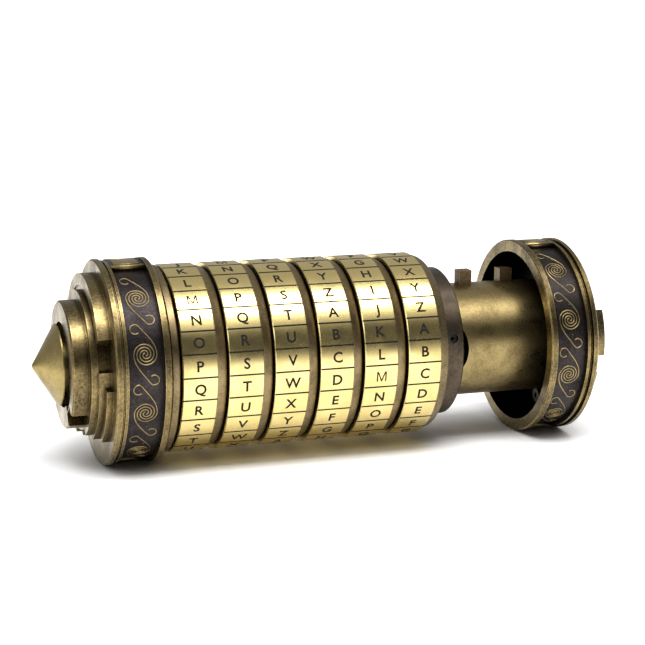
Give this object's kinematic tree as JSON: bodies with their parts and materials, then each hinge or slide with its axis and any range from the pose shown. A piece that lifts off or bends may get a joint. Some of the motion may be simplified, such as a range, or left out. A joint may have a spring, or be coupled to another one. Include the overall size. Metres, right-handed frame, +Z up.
{
  "type": "cryptex",
  "caption": "Cylindrical word-lock puzzle: lettered dials turn on a slotted sleeve and free a sliding capsule tube with a capped end.",
  "frame": {"origin": "middle of the length, under the axis, where both cap rims rest", "axes": "+X along the axis towards the end that pulls out, +Z up, -Y the side that faces the viewer"},
  "size_m": [0.1466, 0.05, 0.05],
  "materials": {
    "antique_brass": "antiqued, dark in the hollows and rubbed bright on edges",
    "cone_brass": "antiqued, satin",
    "dark_relief": "blackened ground with rubbed raised lines",
    "dark_bronze": "dark bronze patina, satin",
    "inner_brass": "machined, dull",
    "dial_bronze": "antique bronze, satin",
    "letter_brass": "polished, with black engraved letters",
    "capsule_brass": "mottled antique brass, satin",
    "screw_steel": "blackened"
  },
  "bodies": {
    "barrel": {"left_cap": "antique_brass", "left_scroll_band": "dark_relief", "left_lower_step": "antique_brass", "left_middle_step": "antique_brass", "left_drum": "antique_brass", "cone_finial": "cone_brass", "finial_nut": "screw_steel", "fixed_collar": "antique_brass", "locking_sleeve": "inner_brass", "sleeve_screws": "screw_steel", "retaining_hub": "dark_bronze", "hub_set_screw": "screw_steel"},
    "dial_1": {"dial_1_ring": "dial_bronze", "dial_1_letter_band": "letter_brass", "dial_1_code_ring": "inner_brass"},
    "dial_2": {"dial_2_ring": "dial_bronze", "dial_2_letter_band": "letter_brass", "dial_2_code_ring": "inner_brass"},
    "dial_3": {"dial_3_ring": "dial_bronze", "dial_3_letter_band": "letter_brass", "dial_3_code_ring": "inner_brass"},
    "dial_4": {"dial_4_ring": "dial_bronze", "dial_4_letter_band": "letter_brass", "dial_4_code_ring": "inner_brass"},
    "dial_5": {"dial_5_ring": "dial_bronze", "dial_5_letter_band": "letter_brass", "dial_5_code_ring": "inner_brass"},
    "dial_6": {"dial_6_ring": "dial_bronze", "dial_6_letter_band": "letter_brass", "dial_6_code_ring": "inner_brass"},
    "capsule": {"capsule_tube": "capsule_brass", "capsule_plug": "capsule_brass", "key_lugs": "capsule_brass", "right_cap": "antique_brass", "right_scroll_band": "dark_relief", "right_lower_step": "antique_brass", "right_upper_step": "antique_brass", "right_button": "antique_brass", "capsule_screws": "screw_steel"}
  },
  "joints": [
    {"name": "dial_1_turn", "type": "hinge", "parent": "barrel", "child": "dial_1", "pos_m": [-0.03635, 0, 0.025], "axis": [1, 0, 0], "continuous": true},
    {"name": "dial_2_turn", "type": "hinge", "parent": "barrel", "child": "dial_2", "pos_m": [-0.02505, 0, 0.025], "axis": [1, 0, 0], "continuous": true},
    {"name": "dial_3_turn", "type": "hinge", "parent": "barrel", "child": "dial_3", "pos_m": [-0.01375, 0, 0.025], "axis": [1, 0, 0], "continuous": true},
    {"name": "dial_4_turn", "type": "hinge", "parent": "barrel", "child": "dial_4", "pos_m": [-0.00245, 0, 0.025], "axis": [1, 0, 0], "continuous": true},
    {"name": "dial_5_turn", "type": "hinge", "parent": "barrel", "child": "dial_5", "pos_m": [0.00885, 0, 0.025], "axis": [1, 0, 0], "continuous": true},
    {"name": "dial_6_turn", "type": "hinge", "parent": "barrel", "child": "dial_6", "pos_m": [0.02015, 0, 0.025], "axis": [1, 0, 0], "continuous": true},
    {"name": "capsule_slide", "type": "slide", "parent": "barrel", "child": "capsule", "axis": [1, 0, 0], "range_m": [-0.025, 0.052]}
  ]
}
